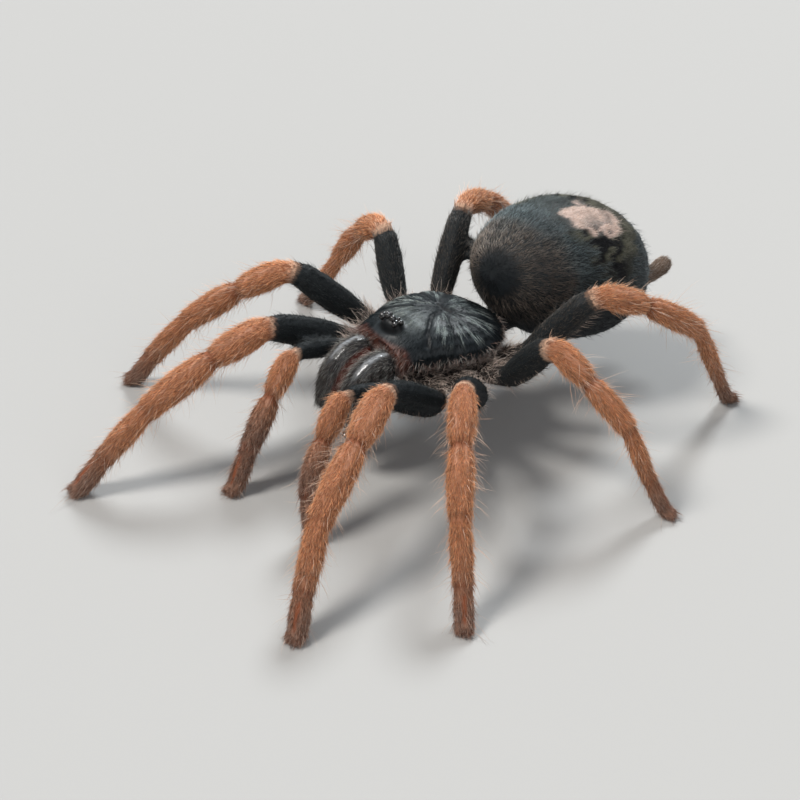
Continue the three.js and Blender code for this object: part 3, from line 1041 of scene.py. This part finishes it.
def growUndersideCoat(material):
    random = np.random.default_rng(seeds["underside"])
    plain = {"patch": 0, "zone": 0, "net": 0, "sheen": 0}
    above = 0.2 + 0.8 * smoothStep(-0.3, 0.3, skin.normals[:, 2])
    wanted = skin.on("underside") * above
    layers = [
        ("short", wanted, dict(plain, tan=drawn(random, 0, 0.6))),
        ("long", wanted, dict(plain, patch=drawn(random, 0.2, 0.85), tan=1)),
    ]
    growCoat("coat_underside", skin, rootCoat, layers, material, random)
    layers = [("tail", skin.on("spinneret") * 1.0, dict(plain, patch=0.05, tan=1))]
    growCoat("coat_spinnerets", skin, rootCoat, layers, material, random)


abdomenHairMaterial = makeHairMaterial("abdomenHair", abdomenHairLook)
growAbdomenCoat(abdomenHairMaterial)
growUndersideCoat(abdomenHairMaterial)
print("body coat grown:", coatSize(), "triangles")


# shell

shellSetup = {"swell": 0.16, "voxel": 0.13, "smoothing": 8, "sink": 0.05}
eyeMound = {"at": (0.0, -4.7, 2.95), "half": (1.15, 0.75, 0.75), "bare": (1.3, 0.9, 1.1), "rise": 0.03}
furrows = [
    {"line": [(0, 0.75), (0.75, 0.95)], "depth": 0.3, "width": 0.24},  # the fovea
    {"line": [(0.4, 0.3), (1.05, -1.3), (1.95, -2.3), (2.5, -2.95), (3.3, -3.5)],
     "depth": 0.17, "width": 0.2},
    {"line": [(1.0, 0.6), (2.6, -0.4), (4.4, -1.3)], "depth": 0.1, "width": 0.32},
    {"line": [(1.0, 0.9), (2.8, 1.3), (4.7, 1.9)], "depth": 0.1, "width": 0.32},
    {"line": [(0.9, 1.3), (2.2, 3.0), (3.2, 4.3)], "depth": 0.1, "width": 0.32},
]


def awayFromLine(flat, line):
    best = np.full(len(flat), 1e9)
    for start, stop in zip(line, line[1:]):
        start, stop = np.array(start), np.array(stop)
        t = np.clip(((flat - start) @ (stop - start)) / ((stop - start) @ (stop - start)), 0, 1)
        best = np.minimum(best, np.linalg.norm(flat - start - t[:, None] * (stop - start), axis=1))
    return best


def furrowDepth(spot):
    # how far the shell is pressed in at each place, in millimetres
    flat = np.stack([np.abs(spot[:, 0]), spot[:, 1]], 1)
    depths = [furrow["depth"] * bell(awayFromLine(flat, furrow["line"]), furrow["width"])
              for furrow in furrows]
    return np.max(depths, axis=0)


rays = {"middle": 0.5, "width": 0.055, "level": (0.05, 0.3), "start": (0.3, 0.9), "end": (3.4, 5.0),
        "strength": 1.5}
# where a painted highlight lies behind the eyes, how wide and how strong
paintedHighlight = {"at": (0.9, -3.0), "half": (1.0, 1.2), "strength": 0.6}


def silverRaysAndHighlight(spot):
    # fine pale rays running out from the middle pit, and a painted highlight behind the eyes
    dx, dy = np.abs(spot[:, 0]), spot[:, 1] - rays["middle"]
    bearing = np.arctan2(dx, -dy)
    away = np.hypot(dx, dy)
    flow = np.stack([bearing * 2.2, away * 0.1, np.sign(spot[:, 0]) * 0.3], 1)
    ray = smoothStep(*rays["level"], ripple(flow, rays["width"], 11))
    ray *= smoothStep(-0.8, 0.2, ripple(flow, 0.3, 12))
    reach = smoothStep(*rays["start"], away) * (1 - smoothStep(*rays["end"], away))
    flank = smoothStep(0.6, 0.95, bearing) * (1 - 0.6 * smoothStep(2.1, 2.7, bearing))
    aside = (np.stack([dx, spot[:, 1]], 1) - paintedHighlight["at"]) / paintedHighlight["half"]
    highlight = paintedHighlight["strength"] * np.exp(-(aside ** 2).sum(1))
    silver = rays["strength"] * ray * reach * (0.12 + 0.88 * flank) + highlight * (0.6 + 0.4 * ray)
    # painted shade: no silver in the furrows, so they stay dark
    return np.clip(silver, 0, 1) * (1 - np.clip(furrowDepth(spot) / 0.09, 0, 1))


def radialLie(surface):
    # outwards from the middle pit, and down over the rim
    out = unit(surface.spot * (1, 1, 0) - (0, 0.6, 0))
    out[:, 2] -= 1 - smoothStep(0.2, 0.75, surface.normals[:, 2])
    return laidOn(bodyWays(out), surface.normals)


def clearOfEyes(spot):
    # 0 on the bare mound that carries the eyes
    return smoothStep(0.85, 1.05, np.linalg.norm((spot - eyeMound["at"]) / eyeMound["bare"], axis=1))


def browPlaces(surface):
    # the strip along the front edge
    front = smoothStep(-5.0, -5.6, surface.spot[:, 1]) * smoothStep(2.25, 1.9, surface.spot[:, 2])
    return front * (surface.normals[:, 2] > -0.6)


shellLook = {
    "roughness": 0.45, "specular": 0.25, "grain": 5.0, "stretch": 0.12, "bump": 0.07, "bumpStrength": 0.7,
    "layers": [
        ("dark", (0.004, 0.006, 0.008), (0.02, 0.026, 0.03)),
        # silver rays, and the painted highlight behind the eyes
        ("streak", (0.035, 0.047, 0.049), (0.17, 0.205, 0.2)),
        # painted shade in the furrows, and the bare black mound under the eyes
        ("furrow", (0.004, 0.005, 0.006)),
        ("brow", (0.09, 0.03, 0.02)),
    ],
}


def makeShell():
    mesh = remeshedNodes("shell", ["carapace", "eye_mound"], **shellSetup)
    surface = Surface(mesh)
    top = smoothStep(0.15, 0.4, surface.normals[:, 2])
    depth = furrowDepth(surface.spot) * top
    setPoints(mesh, surface.points - surface.normals * (depth * mm)[:, None])
    surface = Surface(mesh)
    surface.lie = radialLie(surface)
    dx, dy = surface.spot[:, 0], surface.spot[:, 1] - 0.6
    surface.reach = np.hypot(dx, dy) + 3 - surface.spot[:, 2]
    surface.angle = np.arctan2(dx, -dy)
    surface.top = top
    setValues(
        mesh, streak=silverRaysAndHighlight(surface.spot) * top,
        # painted shade in the furrows, and the black eye mound
        furrow=np.maximum(np.clip(depth / 0.17, 0, 1) * 0.8, 1 - clearOfEyes(surface.spot)),
        brow=browPlaces(surface), lie=np.stack([surface.reach, surface.angle * 3.0, surface.spread], 1),
    )
    addObject("shell", mesh, makeHideMaterial("shell", shellLook), ["carapace"])
    return surface


shellCoat = {
    "flat": {"density": 190, "length": 0.5, "width": 0.032, "lift": 8, "bend": 4, "liftVary": 4, "rings": 1,
             "spread": 0.06},
    "rim": {"density": 50, "length": 0.9, "width": 0.03, "lift": 42, "bend": 50, "liftVary": 14, "rings": 2,
            "spread": 0.6},
    "brow": {"density": 34, "length": 1.05, "width": 0.042, "lift": 34, "bend": 30, "liftVary": 10,
             "rings": 2,
             "spread": 0.12},
}
shellHairLook = {
    "roughness": 0.5, "specular": 0.12,
    "layers": [
        ("dark", (0.003, 0.0045, 0.0055), (0.009, 0.0135, 0.016), (0.03, 0.041, 0.046), 1.4),
        # silver hair on the rays, and the painted highlight behind the eyes
        ("silver", (0.2, 0.235, 0.225), (0.62, 0.7, 0.66), (0.97, 1.0, 0.97), 0.6),
        ("tan", (0.09, 0.04, 0.03), (0.25, 0.16, 0.135), (0.72, 0.56, 0.49), 0.9),
    ],
}


def growShellCoat(surface, material):
    random = np.random.default_rng(seeds["shell"])
    spot, upright = surface.spot, surface.normals[:, 2]
    brow = browPlaces(surface)
    upper = np.maximum(surface.top, spot[:, 2] > 1.1) * clearOfEyes(spot) * (1 - brow)
    rim = smoothStep(1.5, 0.9, spot[:, 2]) * (np.abs(upright) < 0.75) * (1 - brow)

    # each hair's silver, with the painted highlight behind the eyes
    def silver(nearest, roots):
        return silverRaysAndHighlight(toBody(roots)) * random.uniform(0.6, 1, len(roots))

    warm = drawn(random, 0.4, 1)
    layers = [
        ("flat", upper, {"silver": silver, "tan": 0}),
        ("rim", rim, {"silver": 0.6, "tan": warm}),
        ("brow", brow, {"silver": 0, "tan": warm}),
    ]
    growCoat("coat_shell", surface, shellCoat, layers, material, random)


shellHairMaterial = makeHairMaterial("shellHair", shellHairLook)
growShellCoat(makeShell(), shellHairMaterial)
print("shell made")


# jaws and fangs

jawPath = [(1.5, -6.3, 0.0), (1.5, -8.8, 0.2), (1.4, -9.6, -3.8)]
jawSetup = {"swell": 0, "voxel": 0.13, "smoothing": 6, "sink": -0.06}
fangSetup = {"swell": 0, "voxel": 0.08, "smoothing": 3, "sink": 0}
jawLook = {
    "roughness": 0.3, "coat": 0.15, "grain": 6.0, "stretch": 0.15, "bump": 0.04, "bumpStrength": 0.5,
    "layers": [
        ("dark", (0.004, 0.004, 0.005), (0.022, 0.022, 0.023)),
        ("inner", (0.12, 0.018, 0.012)),
        # a painted highlight, pale grey, on the glossy bald streak
        ("bald", (0.22, 0.23, 0.24)),
    ],
}
jawCoat = {
    "short": {"density": 105, "length": 0.55, "width": 0.03, "lift": 24, "bend": 8,
              "rings": 1, "spread": 0.1},
    "long": {"density": 14, "length": 0.9, "width": 0.025, "lift": 38, "bend": 25,
             "rings": 2, "spread": 0.3},
    "comb": {"density": 26, "length": 0.8, "width": 0.034, "lift": 52, "bend": 30,
             "rings": 2, "spread": 0.2},
}
fangLook = {"roughness": 0.18, "coat": 1.0, "dark": (0.004, 0.003, 0.003), "light": (0.03, 0.012, 0.008)}


def jawPlaces(surface, sign):
    # distance along the bent jaw, angle round it from the top, and its direction
    t = np.linspace(0, 1, 60)[:, None]
    a, b, c = (np.array(point) * (sign, 1, 1) for point in jawPath)
    line = a * (1 - t) ** 2 + b * 2 * t * (1 - t) + c * t ** 2
    ahead = unit(np.gradient(line, axis=0))
    index = np.linalg.norm(surface.spot[:, None] - line[None], axis=2).argmin(1)
    outward = np.array((sign, 0.0, 0.0))
    above = np.cross(ahead, outward) * sign
    offset = surface.spot - line[index]
    angle = np.arctan2(offset @ outward, (offset * above[index]).sum(1))
    steps = np.concatenate([[0], np.cumsum(np.linalg.norm(np.diff(line, axis=0), axis=1))])
    return steps[index], angle, unit(bodyWays(ahead[index]))


def makeJaw(side, sign, material):
    random = np.random.default_rng(seeds["jaws"] + sign)
    mesh = remeshedNodes(f"jaw_{side}", [f"chelicera_{side}"], **jawSetup)
    surface = Surface(mesh)
    surface.reach, surface.angle, surface.lie = jawPlaces(surface, sign)
    # the bald streak on top near the base, coloured pale as a painted highlight
    bald = bell(surface.angle - 0.1, 0.16) * (1 - smoothStep(1.4, 3.0, surface.reach))
    inner = smoothStep(0.6, 0.85, -surface.angle) * (surface.angle > -2.9)
    setValues(mesh, bald=bald, inner=inner,
              lie=np.stack([surface.reach, surface.angle * 1.3, surface.spread + sign], 1))
    addObject(f"jaw_{side}", mesh, material, [f"chelicera_{side}"])

    def silver(nearest, roots):
        return random.uniform(0, 0.9, len(roots)) ** 2.4

    hairy = (1 - 0.97 * bald) * (1 - 0.8 * inner)
    usual = {"silver": silver, "tan": 0.25 + 0.6 * inner}
    layers = [
        ("short", hairy, usual),
        ("long", hairy, usual),
        ("comb", inner * (surface.angle > -1.25), {"silver": 0, "tan": 1}),
    ]
    growCoat(f"coat_jaw_{side}", surface, jawCoat, layers, shellHairMaterial, random)


def makeGlossMaterial(name, look):
    material, tree, shader = newMaterial(name, look)
    noise = addNode(tree, "ShaderNodeTexNoise", {"Scale": 900.0, "Detail": 2.0})
    colour = mixColour(tree, noise.outputs["Fac"], rgba(look["dark"]), rgba(look["light"]))
    tree.links.new(colour, shader.inputs["Base Color"])
    return material


jawMaterial = makeHideMaterial("jaw", jawLook)
for jawSide, jawSign in sides.items():
    makeJaw(jawSide, jawSign, jawMaterial)
fangMaterial = makeGlossMaterial("fang", fangLook)
fangMesh = remeshedNodes("fangs", ["fang_left", "fang_right"], **fangSetup)
addObject("fangs", fangMesh, fangMaterial, ["fang_left", "fang_right"])
print("jaws made")


# eyes

# place on the mound, long and short radius, and turn in degrees, for the left four of the eight
eyeSetup = [
    {"at": (0.28, -0.18), "size": (0.28, 0.28), "turn": 0},
    {"at": (0.76, -0.28), "size": (0.38, 0.27), "turn": 60},
    {"at": (0.84, 0.2), "size": (0.3, 0.22), "turn": -50},
    {"at": (0.5, 0.26), "size": (0.18, 0.14), "turn": -30},
]
eyeLook = {"roughness": 0.05, "coat": 1.0, "dark": (0.001, 0.001, 0.001), "light": (0.006, 0.005, 0.005)}


def addEye(joined, eye, sign):
    half = eyeMound["half"]
    x, y = eye["at"][0] * sign, eye["at"][1]
    z = half[2] * math.sqrt(1 - (x / half[0]) ** 2 - (y / half[1]) ** 2)
    out = Vector((x / half[0] ** 2, y / half[1] ** 2, z / half[2] ** 2)).normalized()
    long, short = eye["size"]
    turn = Matrix.Rotation(math.radians(eye["turn"] * sign), 4, "Z")
    shape = Matrix.Diagonal((long, short, (long + short) / 2, 1))
    spin = out.to_track_quat("Z", "Y").to_matrix().to_4x4()
    move = Matrix.Translation(Vector(eyeMound["at"]) + Vector((x, y, z)) + out * eyeMound["rise"])
    bmesh.ops.create_uvsphere(joined, u_segments=24, v_segments=16, radius=1,
                              matrix=move @ spin @ turn @ shape)


def makeEyes():
    joined = bmesh.new()
    for eye in eyeSetup:
        for sign in sides.values():
            addEye(joined, eye, sign)
    mesh = bpy.data.meshes.new("eyes")
    joined.to_mesh(mesh)
    joined.free()
    setPoints(mesh, fromBody(vertexArray(mesh)))
    mesh.shade_smooth()
    addObject("eyes", mesh, makeGlossMaterial("eye", eyeLook), ["eye_mound"])


makeEyes()
print("eyes made")


# claws

clawSetup = {"length": 0.5, "width": 0.12, "apart": 0.16, "back": 0.12, "splay": 0.15, "lift": 30, "bend": 75,
             "rings": 4, "patch": 0.03}


def makeClaws():
    roots, normals, lies = [], [], []
    for path in limbPaths.values():
        ahead, sideways = path.along[-1], path.sideways[-1]
        for sign in sides.values():
            root = path.points[-1] - ahead * clawSetup["back"] * mm
            roots.append(root + sideways * sign * clawSetup["apart"] * mm)
            normals.append(path.above[-1])
            lies.append(ahead + sideways * sign * clawSetup["splay"])
    roots, normals, lies = np.array(roots), np.array(normals), np.array(lies)
    whole = np.ones(len(roots))
    uv = np.stack([np.linspace(0.05, 0.95, len(roots)), whole * 0.5], 1)
    length, width = (whole * clawSetup[key] * mm for key in ("length", "width"))
    lift, bend = (whole * math.radians(clawSetup[key]) for key in ("lift", "bend"))
    mesh = hairMesh("claws", roots, normals, lies, length, width, lift, bend, clawSetup["rings"], uv,
                    {"tone": whole * 0.5}, clawSetup["patch"])
    addObject("claws", mesh, fangMaterial)


makeClaws()
print("claws made")

scene.view_settings.view_transform = "Standard"
